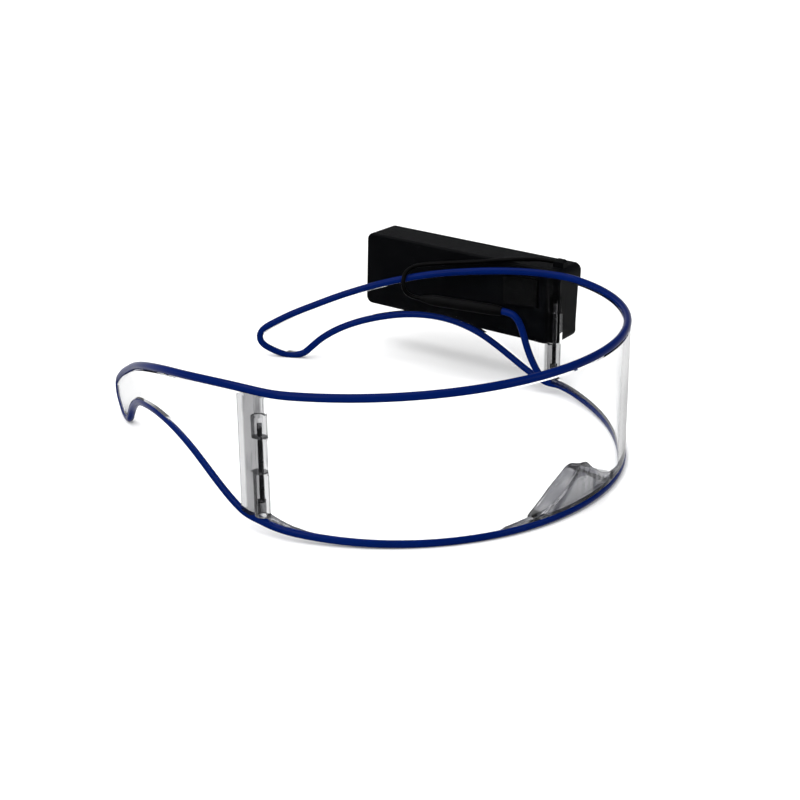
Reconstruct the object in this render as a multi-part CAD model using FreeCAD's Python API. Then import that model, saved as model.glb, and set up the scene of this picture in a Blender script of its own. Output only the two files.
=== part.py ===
# Light up party glasses: clear wraparound shield, two folding temples, glowing wire round every edge,
# and a battery pack taped outside the wearer's left temple.
# Millimetres. X points to the wearer's left, Y backwards, Z up. Shapes are built about a point midway
# between the two hinge axes, level with the upper edge wire there, and moved to the nose bridge last.

import FreeCAD, Part
import math
import os

from FreeCAD import Placement, Rotation, Vector

os.makedirs("parts", exist_ok=True)

# Shield
hinge_half_span = 72.0
wrap_angle = 68.3
side_radius = 28.0
plate_thickness = 2.0
hinge_height = 37.7
front_extra_height = 5.6
brow_rise = 1.55

# Edge wire
wire_radius = 1.2
glue_gap = 0.1
wire_end_gap = 0.3

# Temples
temple_length = 100.3
temple_bend_radius = 130.0
temple_bend_angle = 31.0

# Hinges
knuckle_radius = 2.3
knuckle_gap = 0.4
knuckle_side_gap = 0.35
neck_radius = 1.35
neck_end_share = 0.18
upper_split_share = 0.343
lower_split_share = 0.615
lower_knuckle_end_share = 0.95
web_half_thickness = 1.5
pin_radius = 0.65
pin_top_share = 0.26
pin_bottom_share = 0.825
pin_void = 0.8
pin_head_radius = 1.1
pin_head_length = 0.8
fixed_pin_clearance = 0.01
running_pin_clearance = 0.05
head_clearance = 0.1
hinge_block_length = 4.2
hinge_block_thickness = 3.6
hinge_block_chamfer = 0.5

# Nose saddle
saddle_crown_radius = 8.0
saddle_flare_radius = 34.0
saddle_flank_angle = 41.0
saddle_foot_angle = 12.0
saddle_wall = 1.4
saddle_ridge_depth = 5.2
saddle_foot_depth = 2.4

# Battery pack, in its own axes: u to the rear, v up, w outwards
pack_height = 26.3
pack_depth = 15.0
pack_corner = 2.6
pack_edge = 0.8
pack_yaw = 3.4
pack_pitch = 2.2
pack_front = 0.7
pack_centre_drop = 12.85
pack_wall = 1.5
side_wall = 2.45
case_depth = 9.0
part_gap = 0.3

# Foam pad between temple and pack
pad_thickness = 1.8
pad_start = 8.0
pad_length = 13.0
pad_top_drop = 3.2
pad_height = 10.0

# Cells and their contacts
cell_radius = 5.25
cell_length = 43.7
cell_nub_radius = 1.9
cell_nub_length = 0.8
cell_gap = 0.1
spring_room = 3.2
partition_wall = 1.5
contact_thickness = 0.4
contact_width = 8.0
spring_base_radius = 3.2
spring_tip_radius = 2.2

# Inverter
board_bay = 27.0
board_end_gap = 1.5
board_thickness = 1.2
board_height_above_floor = 2.5
board_low = -5.7
board_high = 10.0
board_post_radius = 1.2
part_inset = 1.2
transformer_length = 9.0
transformer_height = 8.0
transformer_depth = 6.4
transformer_low = -5.2
core_band = 3.0
core_proud = 0.5
capacitor_radius = 2.4
capacitor_height = 5.6
capacitor_inset = 3.5
capacitor_v = 6.6
capacitor_groove = 0.3

# Switch and button
button_inset = 8.0
button_v = -0.6
button_radius = 2.9
button_hole_gap = 0.3
button_proud = 1.1
button_travel = 0.8
button_flange = 0.9
button_flange_thickness = 0.8
button_edge = 0.4
switch_width = 5.6
switch_height = 3.4
switch_stem_radius = 1.4

# Battery door
door_thickness = 1.5
door_gap = 0.3
rail_inset = 0.3
rail_thickness = 0.8
rail_hook = 0.6
rail_hook_thickness = 0.8
rail_depth = 2.4
grip_count = 4
grip_spacing = 2.0
grip_width = 0.9
grip_depth = 0.5
grip_length = 13.0
grip_start = 4.0

# Case screws
screw_radius = 0.9
screw_head_radius = 1.8
screw_head_length = 1.1
screw_inset = 0.1
screw_hole_gap = 0.05
screw_slot = 0.5
screw_slot_share = 0.7
screw_edge = 4.4
screw_front_inset = 3.5
screw_rear_inset = 4.0
boss_radius = 2.4

# Leads
lead_radius = 0.75
sleeve_radius = 2.0
sleeve_start = 49.8
sleeve_end = 19.7
sleeve_start_drop = 13.3
sleeve_end_drop = 14.6
hood_length = 4.0
hood_width = 3.2
hood_height = 2.6
hood_start = 1.6
hood_w = 6.2
straight_after_hood = 6.8
slant_reach = 11.5
slant_end_reach = 16.2
lead_straight = 4.3
wire_straight = 4.0
corner_share = 0.45
bore_gap = 0.02
overrun = 1.0

# Worked out from the above
edge_offset = wire_radius + glue_gap
half_plate = plate_thickness / 2
wrap = math.radians(wrap_angle)
front_radius = (hinge_half_span - side_radius * (1 - math.sin(wrap))) / math.sin(wrap)
shield_depth = front_radius * (1 - math.cos(wrap)) + side_radius * math.cos(wrap)
bend = math.radians(temple_bend_angle)
temple_bend_end = temple_bend_radius * math.sin(bend)
lower_rise = front_extra_height - brow_rise
lower_front_z = -hinge_height - lower_rise
lower_radius = (shield_depth ** 2 + lower_rise ** 2) / (2 * lower_rise)
foot_cosine = math.cos(math.radians(saddle_foot_angle))
flank_cosine = math.cos(math.radians(saddle_flank_angle))
foot_z = lower_front_z + edge_offset + saddle_wall * foot_cosine
flare_rise = saddle_flare_radius * (foot_cosine - flank_cosine)
crown_z = foot_z + flare_rise + saddle_crown_radius * (1 - flank_cosine)
plate_inside = -shield_depth + half_plate
bridge_y = plate_inside + saddle_ridge_depth / 2
bridge_z = crown_z - saddle_wall
to_bridge = Vector(0, -bridge_y, -bridge_z)
cell_bay = cell_length + cell_nub_length + 2 * contact_thickness + spring_room
partition_start = pack_wall + board_bay
bay_front = partition_start + partition_wall
rear_inside = bay_front + cell_bay
pack_length = rear_inside + pack_wall
door_start = bay_front
board_start = pack_wall + board_end_gap
board_end = partition_start - board_end_gap
transformer_start = board_start + part_inset
capacitor_u = board_end - capacitor_inset
button_u = board_end - button_inset
screw_u = [pack_wall + screw_front_inset, partition_start - screw_rear_inset]
screw_v = screw_edge - pack_height / 2


def save(node, shape):
    moved = shape.copy()
    moved.translate(to_bridge)
    moved.exportStep("parts/" + node + ".step")
    print(node, "valid", moved.isValid(), "solids", len(moved.Solids), "volume %.2f" % moved.Volume)


def mirrored(shape):
    return shape.mirror(Vector(0, 0, 0), Vector(1, 0, 0))


def box(low, high):
    size = high - low
    return Part.makeBox(size.x, size.y, size.z, low)


def upright(radius, x, y, low, high):
    return Part.makeCylinder(radius, high - low, Vector(x, y, low))


# Curves made of tangent arcs

def arc_edge(start, corner, end):
    middle = (start + end) * 0.5
    to_corner = corner - middle
    half_chord = (end - start).Length / 2
    if to_corner.Length < half_chord / 10000:
        return Part.LineSegment(start, end).toShape()
    leg = (corner - start).Length
    sagitta = half_chord * (leg - half_chord) / to_corner.Length
    return Part.Arc(start, middle + to_corner.normalize() * sagitta, end).toShape()


def biarc(start, start_way, end, end_way):
    across = end - start
    both = start_way + end_way
    quad = 2 * (start_way.dot(end_way) - 1)
    linear = -2 * across.dot(both)
    const = across.dot(across)
    if abs(quad) < 1e-9:
        reach = -const / linear
    else:
        reach = (-linear - math.sqrt(linear ** 2 - 4 * quad * const)) / (2 * quad)
    first = start + start_way * reach
    second = end - end_way * reach
    joint = (first + second) * 0.5
    return [arc_edge(start, first, joint), arc_edge(joint, second, end)]


def smooth_edges(stations):
    edges = []
    for (start, start_way), (end, end_way) in zip(stations, stations[1:]):
        edges += biarc(start, start_way, end, end_way)
    return edges


def tube(edges, radius, name):
    path = Part.Wire(edges)
    first = edges[0]
    start = first.valueAt(first.FirstParameter)
    way = first.tangentAt(first.FirstParameter)
    ring = Part.Wire([Part.Circle(start, way, radius).toShape()])
    solid = path.makePipeShell([ring], True, False)
    straight = math.pi * radius ** 2 * path.Length
    print(name, "volume over section times length %.4f" % (solid.Volume / straight))
    return solid


def cord_edges(points, name):
    edges = []
    at = points[0]
    radii = []
    for before, corner, after in zip(points, points[1:], points[2:]):
        way_in = (corner - before).normalize()
        way_out = (after - corner).normalize()
        half_turn = way_in.getAngle(way_out) / 2
        cut = corner_share * min((corner - before).Length, (after - corner).Length)
        radii.append(round(cut / math.tan(half_turn), 1))
        start = corner - way_in * cut
        end = corner + way_out * cut
        edges.append(Part.LineSegment(at, start).toShape())
        edges.append(arc_edge(start, corner, end))
        at = end
    edges.append(Part.LineSegment(at, points[-1]).toShape())
    print(name, "bend radii", radii)
    return edges


# Plan of the shield and the temples, and their edge lines

def shield_plan(angle):
    turn = math.radians(angle)
    if abs(turn) <= wrap:
        return Vector(front_radius * math.sin(turn), front_radius * (1 - math.cos(turn)) - shield_depth, 0)
    side = math.copysign(1, turn)
    return Vector(side * (hinge_half_span - side_radius * (1 - math.sin(abs(turn)))),
                  -side_radius * math.cos(turn), 0)


def upper_line(y):
    return -brow_rise * y / shield_depth, -brow_rise / shield_depth


def lower_line(y):
    run = y + shield_depth
    drop = math.sqrt(lower_radius ** 2 - run ** 2)
    return lower_front_z + lower_radius - drop, run / drop


def shield_stations(line, angles):
    stations = []
    for angle in angles:
        place = shield_plan(angle)
        height, slope = line(place.y)
        way = Vector(math.cos(math.radians(angle)), math.sin(math.radians(angle)), 0)
        way.z = slope * way.y
        stations.append((Vector(place.x, place.y, height), way.normalize()))
    return stations


def temple_plan(y):
    if y <= temple_bend_end:
        turn = math.asin(y / temple_bend_radius)
        return hinge_half_span - temple_bend_radius * (1 - math.cos(turn)), -math.tan(turn)
    run = y - temple_bend_end
    return (hinge_half_span - temple_bend_radius * (1 - math.cos(bend)) - run * math.tan(bend),
            -math.tan(bend))


# Outline of a temple's wire: back along the upper edge, round the tip, forward along the lower edge.
# Share of the temple's length, share of the hinge height, direction in degrees above the rear direction
temple_shares = [
    (0.000, 0.000, -2.0), (0.150, -0.024, -5.5), (0.300, -0.072, -8.3), (0.450, -0.138, -11.5),
    (0.600, -0.240, -17.0), (0.730, -0.366, -22.5), (0.850, -0.515, -25.5), (0.945, -0.655, -33.0),
    (0.998, -0.830, -98.0), (0.957, -0.940, -152.0), (0.900, -0.984, -181.0), (0.854, -0.940, -226.0),
    (0.800, -0.796, -219.0), (0.700, -0.643, -201.5), (0.580, -0.556, -190.0), (0.470, -0.536, -178.0),
    (0.370, -0.574, -165.0), (0.270, -0.676, -152.5), (0.170, -0.832, -148.5), (0.080, -0.963, -158.0),
]


def lower_end_angle():
    return -180 + math.degrees(math.atan(lower_line(0)[1]))


def temple_outline(offset):
    outline = []
    shares = temple_shares + [(0.0, -1.0, lower_end_angle())]
    for along, down, angle in shares:
        turn = math.radians(angle)
        way = Vector(0, math.cos(turn), math.sin(turn))
        inwards = Vector(0, math.sin(turn), -math.cos(turn))
        place = Vector(0, along * temple_length, down * hinge_height) + inwards * offset
        outline.append((place, way))
    return outline


def temple_stations():
    stations = []
    for place, way in temple_outline(0):
        x, lean = temple_plan(place.y)
        direction = Vector(lean * way.y, way.y, way.z)
        stations.append((Vector(x, place.y, place.z), direction.normalize()))
    return stations


# Clear plates

def shield_band():
    def line(radius_change):
        near = front_radius + radius_change
        side = side_radius + radius_change
        centre = Vector(0, front_radius - shield_depth, 0)
        side_x = hinge_half_span - side_radius
        end_y = -(knuckle_radius + knuckle_side_gap)
        last = math.acos(-end_y / side)
        turns = [-last, -wrap, 0, wrap, last]
        mids = [-(last + wrap) / 2, (last + wrap) / 2]

        def on_side(turn):
            return Vector(math.copysign(side_x, turn) + side * math.sin(turn), -side * math.cos(turn), 0)

        def on_front(turn):
            return centre + Vector(near * math.sin(turn), -near * math.cos(turn), 0)

        return [Part.Arc(on_side(turns[0]), on_side(mids[0]), on_side(-wrap)).toShape(),
                Part.Arc(on_front(-wrap), on_front(0), on_front(wrap)).toShape(),
                Part.Arc(on_side(wrap), on_side(mids[1]), on_side(turns[4])).toShape()]

    outer = line(half_plate)
    inner = line(-half_plate)
    ends = []
    for index, parameter in ((0, "FirstParameter"), (2, "LastParameter")):
        outer_end = outer[index].valueAt(getattr(outer[index], parameter))
        inner_end = inner[index].valueAt(getattr(inner[index], parameter))
        ends.append(Part.LineSegment(outer_end, inner_end).toShape())
    outline = Part.Wire(Part.sortEdges(outer + inner + ends)[0])
    face = Part.Face(outline)
    face.translate(Vector(0, 0, -2 * hinge_height))
    return face.extrude(Vector(0, 0, 3 * hinge_height))


def shield_profile():
    front = -shield_depth - overrun * 3
    upper_front = Vector(0, front, upper_line(front)[0] - edge_offset)
    upper_rear = Vector(0, 0, -edge_offset)
    lower_rear = Vector(0, 0, -hinge_height + edge_offset)
    middle_y = -shield_depth / 2
    lower_middle = Vector(0, middle_y, lower_line(middle_y)[0] + edge_offset)
    lower_front = Vector(0, -shield_depth, lower_front_z + edge_offset)
    lower_end = Vector(0, front, lower_front_z + edge_offset)
    edges = [Part.LineSegment(upper_front, upper_rear).toShape(),
             Part.LineSegment(upper_rear, lower_rear).toShape(),
             Part.Arc(lower_rear, lower_middle, lower_front).toShape(),
             Part.LineSegment(lower_front, lower_end).toShape(),
             Part.LineSegment(lower_end, upper_front).toShape()]
    face = Part.Face(Part.Wire(edges))
    face.translate(Vector(-2 * hinge_half_span, 0, 0))
    return face.extrude(Vector(4 * hinge_half_span, 0, 0))


upper_split = -upper_split_share * hinge_height
lower_split = -lower_split_share * hinge_height
neck_end = -neck_end_share * hinge_height
lower_knuckle_end = -lower_knuckle_end_share * hinge_height
pin_top = -pin_top_share * hinge_height
pin_bottom = -pin_bottom_share * hinge_height


def shield_knuckles():
    x = hinge_half_span
    upper_low = upper_split + knuckle_gap / 2
    lower_high = lower_split - knuckle_gap / 2
    reach = -(knuckle_radius + knuckle_side_gap) - overrun
    upper = upright(knuckle_radius, x, 0, upper_low, neck_end)
    neck = upright(neck_radius, x, 0, neck_end, -edge_offset)
    lower = upright(knuckle_radius, x, 0, lower_knuckle_end, lower_high)
    upper_web = box(Vector(x - half_plate, reach, upper_low), Vector(x + half_plate, 0, -edge_offset))
    lower_web = box(Vector(x - half_plate, reach, lower_knuckle_end), Vector(x + half_plate, 0, lower_high))
    hole = pin_radius + fixed_pin_clearance
    bore = upright(hole, x, 0, pin_bottom - overrun, pin_top + pin_void)
    head_bore = upright(pin_head_radius + head_clearance, x, 0, lower_knuckle_end - overrun, pin_bottom)
    solid = upper.fuse([neck, lower, upper_web, lower_web])
    return solid, bore.fuse(head_bore)


def front_shield():
    plate = shield_band().common(shield_profile())
    solid, bore = shield_knuckles()
    whole = plate.fuse([solid, mirrored(solid)]).cut(bore).cut(mirrored(bore))
    return whole.removeSplitter()


def temple_band():
    start = knuckle_radius + knuckle_gap
    edges = []
    ends = []
    for change in (half_plate, -half_plate):
        radius = temple_bend_radius + change
        centre_x = hinge_half_span - temple_bend_radius
        first = math.asin(start / radius)

        def on_bend(turn):
            return Vector(centre_x + radius * math.cos(turn), radius * math.sin(turn), 0)

        bend_end = on_bend(bend)
        far = bend_end + Vector(-math.sin(bend), math.cos(bend), 0) * temple_length
        edges.append(Part.Arc(on_bend(first), on_bend((first + bend) / 2), bend_end).toShape())
        edges.append(Part.LineSegment(bend_end, far).toShape())
        ends.append((on_bend(first), far))
    edges.append(Part.LineSegment(ends[0][0], ends[1][0]).toShape())
    edges.append(Part.LineSegment(ends[0][1], ends[1][1]).toShape())
    face = Part.Face(Part.Wire(Part.sortEdges(edges)[0]))
    face.translate(Vector(0, 0, -2 * hinge_height))
    return face.extrude(Vector(0, 0, 3 * hinge_height))


def temple_profile():
    stations = temple_outline(edge_offset)
    edges = smooth_edges(stations)
    start = stations[0][0]
    end = stations[-1][0]
    corner_high = Vector(0, -overrun, start.z)
    corner_low = Vector(0, -overrun, end.z)
    edges.append(Part.LineSegment(end, corner_low).toShape())
    edges.append(Part.LineSegment(corner_low, corner_high).toShape())
    edges.append(Part.LineSegment(corner_high, start).toShape())
    face = Part.Face(Part.Wire(edges))
    return face.extrude(Vector(2 * hinge_half_span, 0, 0))


def temple_plate():
    x = hinge_half_span
    start = knuckle_radius + knuckle_gap
    half = hinge_block_thickness / 2
    block = box(Vector(x - half, start, -2 * hinge_height), Vector(x + half, start + hinge_block_length, 0))
    corners = [edge for edge in block.Edges if abs(edge.tangentAt(edge.FirstParameter).z) > 0.9]
    block = block.makeChamfer(hinge_block_chamfer, corners)
    plate = temple_band().fuse(block).common(temple_profile())
    high = upper_split - knuckle_gap / 2
    low = lower_split + knuckle_gap / 2
    knuckle = upright(knuckle_radius, x, 0, low, high)
    web = box(Vector(x - web_half_thickness, 0, low), Vector(x + web_half_thickness, start + overrun, high))
    bore = upright(pin_radius + running_pin_clearance, x, 0, low - overrun, high + overrun)
    return plate.fuse([knuckle, web]).cut(bore).removeSplitter()


def hinge_pin():
    x = hinge_half_span
    head = upright(pin_head_radius, x, 0, pin_bottom - pin_head_length, pin_bottom - bore_gap)
    shaft = upright(pin_radius, x, 0, pin_bottom - pin_head_length, pin_top)
    return head.fuse(shaft).removeSplitter()


# Edge wires

def front_wire(line, name):
    angles = [-90, -78, -wrap_angle, -44, -22, 0, 22, 44, wrap_angle, 78, 90]
    stations = shield_stations(line, angles)
    solid = tube(smooth_edges(stations), wire_radius, name)
    for place, way in (stations[0], stations[-1]):
        solid = solid.fuse(Part.makeSphere(wire_radius, place))
    return solid


def temple_wire(name):
    edges = smooth_edges(temple_stations())
    whole = tube(edges, wire_radius, name)
    start = wire_radius + wire_end_gap
    clear = box(Vector(hinge_half_span - 2 * knuckle_radius, -overrun, -2 * hinge_height),
                Vector(hinge_half_span + 2 * knuckle_radius, start, hinge_height))
    return whole.cut(clear)


# Nose saddle: an arch of even wall that flares at its feet, closed against the inside of the shield

def saddle_line(drop):
    crown = saddle_crown_radius - drop
    flare = saddle_flare_radius + drop
    flank = math.radians(saddle_flank_angle)
    foot = math.radians(saddle_foot_angle)
    crown_centre = Vector(0, 0, crown_z - saddle_crown_radius)
    reach = saddle_crown_radius + saddle_flare_radius
    flare_centre = crown_centre + Vector(reach * math.sin(flank), 0, reach * math.cos(flank))

    def on_crown(turn):
        return crown_centre + Vector(crown * math.sin(turn), 0, crown * math.cos(turn))

    def on_flare(turn):
        return flare_centre - Vector(flare * math.sin(turn), 0, flare * math.cos(turn))

    right = [on_flare(foot), on_flare((foot + flank) / 2), on_crown(flank)]
    left = [Vector(-point.x, 0, point.z) for point in right]
    edges = [Part.Arc(left[0], left[1], left[2]).toShape(),
             Part.Arc(left[2], on_crown(0), right[2]).toShape(),
             Part.Arc(right[2], right[1], right[0]).toShape()]
    return edges, left[0], right[0]


def nose_saddle():
    outer, outer_left, outer_right = saddle_line(0)
    inner, inner_left, inner_right = saddle_line(saddle_wall)
    sides = [Part.LineSegment(outer_left, inner_left).toShape(),
             Part.LineSegment(outer_right, inner_right).toShape()]
    face = Part.Face(Part.Wire(Part.sortEdges(outer + inner + sides)[0]))
    face.translate(Vector(0, -shield_depth, 0))
    arch = face.extrude(Vector(0, 2 * saddle_ridge_depth, 0))
    inside = upright(front_radius - half_plate, 0, front_radius - shield_depth, -2 * hinge_height, 0)
    ridge_y = plate_inside + saddle_ridge_depth
    foot_x = outer_right.x
    foot_y = front_radius - shield_depth - math.sqrt((front_radius - half_plate) ** 2 - foot_x ** 2)
    rear = Part.Arc(Vector(-foot_x, foot_y + saddle_foot_depth, 0), Vector(0, ridge_y, 0),
                    Vector(foot_x, foot_y + saddle_foot_depth, 0)).toShape()
    left_side = Part.LineSegment(Vector(-foot_x, -shield_depth, 0),
                                 Vector(-foot_x, foot_y + saddle_foot_depth, 0)).toShape()
    right_side = Part.LineSegment(Vector(foot_x, foot_y + saddle_foot_depth, 0),
                                  Vector(foot_x, -shield_depth, 0)).toShape()
    front = Part.LineSegment(Vector(foot_x, -shield_depth, 0), Vector(-foot_x, -shield_depth, 0)).toShape()
    plan = Part.Face(Part.Wire([left_side, rear, right_side, front]))
    plan.translate(Vector(0, 0, -2 * hinge_height))
    limit = plan.extrude(Vector(0, 0, 2 * hinge_height))
    return arch.common(inside).common(limit)


# Battery pack

def pack_placement():
    rotation = Rotation(Vector(0, 0, 1), pack_yaw).multiply(Rotation(Vector(1, 0, 0), pack_pitch))
    turn = math.radians(pack_yaw)
    touch = Vector(hinge_half_span - temple_bend_radius + (temple_bend_radius + half_plate) * math.cos(turn),
                   (temple_bend_radius + half_plate) * math.sin(turn), 0)
    face_point = touch + Vector(math.cos(turn), math.sin(turn), 0) * pad_thickness
    x = face_point.x + (face_point.y - pack_front) * math.tan(turn)
    return Placement(Vector(x, pack_front, -pack_centre_drop), rotation)


def in_pack(shape):
    placed = shape.copy()
    placed.Placement = pack_placement().multiply(placed.Placement)
    return placed


def cuboid(u_low, u_high, v_low, v_high, w_low, w_high):
    return box(Vector(w_low, u_low, v_low), Vector(w_high, u_high, v_high))


def stud(radius, u, v, w_low, w_high):
    return Part.makeCylinder(radius, w_high - w_low, Vector(w_low, u, v), Vector(1, 0, 0))


def rod(radius, v, w, u_low, u_high):
    return Part.makeCylinder(radius, u_high - u_low, Vector(w, u_low, v), Vector(0, 1, 0))


half_height = pack_height / 2
inner_half = half_height - side_wall
floor = pack_wall
roof = pack_depth - door_thickness
wall_top = roof - door_gap
cell_w = floor + part_gap + cell_radius
cell_v = cell_radius + cell_gap
board_low_w = floor + board_height_above_floor
board_top = board_low_w + board_thickness


def outer_block(w_low, w_high, edge_w):
    block = cuboid(0, pack_length, -half_height, half_height, w_low, w_high)
    corners = [edge for edge in block.Edges if abs(edge.tangentAt(edge.FirstParameter).x) > 0.9]
    block = block.makeFillet(pack_corner, corners)
    rim = [edge for edge in block.Edges if abs(edge.CenterOfMass.x - edge_w) < pack_edge / 10]
    return block.makeFillet(pack_edge, rim)


def screw_holes(low, high):
    return [stud(screw_radius + screw_hole_gap, u, screw_v, low, high) for u in screw_u]


def pack_case():
    shell = outer_block(0, case_depth, 0)
    room = cuboid(pack_wall, rear_inside, -inner_half, inner_half, floor, case_depth + overrun)
    partition = cuboid(partition_start, bay_front, -inner_half, inner_half, floor, case_depth)
    bosses = [stud(boss_radius, u, screw_v, floor, case_depth) for u in screw_u]
    posts = []
    for u in (board_start + 2 * board_post_radius, board_end - 2 * board_post_radius):
        posts.append(stud(board_post_radius, u, board_high - 2 * board_post_radius, floor, board_low_w))
    body = shell.cut(room).fuse([partition] + bosses + posts)
    for hole in screw_holes(floor + part_gap, case_depth + overrun):
        body = body.cut(hole)
    return body.fuse(lead_hood()).cut(lead_bore()).removeSplitter()


def lead_hood():
    low = half_height - side_wall / 2
    hood = cuboid(hood_start, hood_start + hood_length, low, half_height + hood_height,
                  hood_w - hood_width / 2, hood_w + hood_width / 2)
    top = [edge for edge in hood.Edges if edge.CenterOfMass.z > half_height + hood_height - pack_edge / 10]
    return hood.makeChamfer(pack_edge, top)


def lead_bore():
    v = half_height + hood_height / 2
    return rod(lead_radius + bore_gap, v, hood_w, hood_start + hood_length / 2, hood_start + 2 * hood_length)


def groove_band(side):
    low = side * (inner_half - rail_inset - rail_thickness - door_gap)
    high = side * (inner_half + rail_hook)
    return min(low, high), max(low, high)


def pack_lid():
    shell = outer_block(case_depth, pack_depth, pack_depth)
    room = cuboid(pack_wall, rear_inside, -inner_half, inner_half, case_depth - overrun, roof)
    bay = cuboid(door_start - door_gap, pack_length + overrun, -half_height - overrun,
                 half_height + overrun, wall_top, pack_depth + overrun)
    body = shell.cut(room).cut(bay)
    hook_low = roof - rail_depth - door_gap
    hook_high = roof - rail_depth + rail_hook_thickness + door_gap
    for side in (-1, 1):
        low, high = groove_band(side)
        body = body.cut(cuboid(door_start, pack_length + overrun, low, high, hook_low, hook_high))
        inner_low, inner_high = sorted((side * inner_half, low if side > 0 else high))
        body = body.cut(cuboid(rear_inside - overrun, pack_length + overrun, inner_low, inner_high,
                               hook_low, wall_top + overrun))
    posts = [stud(boss_radius, u, screw_v, case_depth + bore_gap, roof) for u in screw_u]
    body = body.fuse(posts)
    for hole in screw_holes(case_depth - overrun, pack_depth + overrun):
        body = body.cut(hole)
    head_low = pack_depth - screw_inset - screw_head_length - bore_gap
    for u in screw_u:
        body = body.cut(stud(screw_head_radius + head_clearance, u, screw_v, head_low, pack_depth + overrun))
    body = body.cut(stud(button_radius + button_hole_gap, button_u, button_v, roof - overrun,
                         pack_depth + overrun))
    return body.removeSplitter()


def battery_door():
    door = outer_block(roof, pack_depth, pack_depth)
    keep = cuboid(door_start, pack_length + overrun, -half_height - overrun, half_height + overrun,
                  roof - overrun, pack_depth + overrun)
    door = door.common(keep)
    for side in (-1, 1):
        outer = side * (inner_half - rail_inset)
        inner = side * (inner_half - rail_inset - rail_thickness)
        low, high = sorted((outer, inner))
        rail_low = roof - rail_depth
        door = door.fuse(cuboid(door_start + overrun, pack_length - 2 * pack_wall, low, high,
                                rail_low, roof + overrun / 2))
        low, high = sorted((inner, side * (inner_half + rail_hook - door_gap)))
        door = door.fuse(cuboid(door_start + overrun, pack_length - 2 * pack_wall, low, high,
                                rail_low, rail_low + rail_hook_thickness))
    for index in range(grip_count):
        u = door_start + grip_start + index * grip_spacing
        door = door.cut(cuboid(u, u + grip_width, -grip_length / 2, grip_length / 2,
                               pack_depth - grip_depth, pack_depth + overrun))
    return door.removeSplitter()


def cell(side):
    v = side * cell_v
    start = bay_front + contact_thickness + bore_gap
    total = cell_length + cell_nub_length
    if side > 0:
        nub = rod(cell_nub_radius, v, cell_w, start, start + 2 * cell_nub_length)
        can = rod(cell_radius, v, cell_w, start + cell_nub_length, start + total)
    else:
        end = rear_inside - contact_thickness - bore_gap
        nub = rod(cell_nub_radius, v, cell_w, end - 2 * cell_nub_length, end)
        can = rod(cell_radius, v, cell_w, end - total, end - cell_nub_length)
    return can.fuse(nub).removeSplitter()


def contact_spring(side):
    v = side * cell_v
    total = cell_length + cell_nub_length
    if side > 0:
        base = rear_inside - contact_thickness
        tip = bay_front + contact_thickness + bore_gap + total + bore_gap
    else:
        base = bay_front + contact_thickness
        tip = rear_inside - contact_thickness - total - 2 * bore_gap
    length = abs(base - tip) - bore_gap
    way = Vector(0, math.copysign(1, tip - base), 0)
    return Part.makeCone(spring_base_radius, spring_tip_radius, length,
                         Vector(cell_w, base, v) + way * bore_gap, way)


def front_contacts():
    plates = []
    for side in (-1, 1):
        v = side * cell_v
        plates.append(cuboid(bay_front, bay_front + contact_thickness, v - contact_width / 2,
                             v + contact_width / 2, floor + part_gap, case_depth - part_gap))
    return plates


def rear_contact():
    reach = cell_v + contact_width / 2
    return cuboid(rear_inside - contact_thickness, rear_inside, -reach, reach,
                  floor + part_gap, case_depth - part_gap)


def circuit_board():
    return cuboid(board_start, board_end, board_low, board_high, board_low_w, board_top)


def transformer():
    high = transformer_low + transformer_height
    top = board_top + transformer_depth
    rear = transformer_start + transformer_length
    coil = cuboid(transformer_start, rear, transformer_low, high, board_top, top)
    middle = (transformer_start + rear) / 2
    core = cuboid(middle - core_band / 2, middle + core_band / 2, transformer_low - core_proud,
                  high + core_proud, board_top, top + core_proud)
    return coil.fuse(core).removeSplitter()


def capacitor():
    can = stud(capacitor_radius, capacitor_u, capacitor_v, board_top, board_top + capacitor_height)
    groove = stud(capacitor_radius + overrun, capacitor_u, capacitor_v,
                  board_top + 2 * capacitor_groove, board_top + 4 * capacitor_groove)
    core = stud(capacitor_radius - capacitor_groove, capacitor_u, capacitor_v,
                board_top, board_top + capacitor_height)
    return can.cut(groove.cut(core))


def switch_body():
    half = switch_width / 2
    case = cuboid(button_u - half, button_u + half, button_v - half, button_v + half,
                  board_top, board_top + switch_height)
    button_low = pack_depth + button_proud - button_length()
    stem_top = button_low - button_travel - part_gap
    stem = stud(switch_stem_radius, button_u, button_v, board_top, max(stem_top, board_top + switch_height))
    return case.fuse(stem).removeSplitter()


def button_length():
    return door_thickness + button_proud + button_flange_thickness + part_gap + button_travel


def push_button():
    top = pack_depth + button_proud
    low = top - button_length()
    stem = stud(button_radius, button_u, button_v, low, top)
    rim = [edge for edge in stem.Edges if abs(edge.CenterOfMass.x - top) < button_edge / 10]
    stem = stem.makeFillet(button_edge, rim)
    flange_top = roof - part_gap
    flange = stud(button_radius + button_flange, button_u, button_v,
                  flange_top - button_flange_thickness, flange_top)
    return stem.fuse(flange).removeSplitter()


def case_screw(u):
    head_top = pack_depth - screw_inset
    head_low = head_top - screw_head_length
    head = stud(screw_head_radius, u, screw_v, head_low, head_top)
    shaft = stud(screw_radius, u, screw_v, floor + 2 * part_gap, head_low + overrun / 2)
    slots = []
    half_slot = screw_slot_share * screw_head_radius
    for across, along in ((screw_slot / 2, half_slot), (half_slot, screw_slot / 2)):
        slots.append(cuboid(u - across, u + across, screw_v - along, screw_v + along,
                            head_top - screw_slot, head_top + overrun))
    return head.fuse(shaft).cut(slots[0]).cut(slots[1]).removeSplitter()


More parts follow.
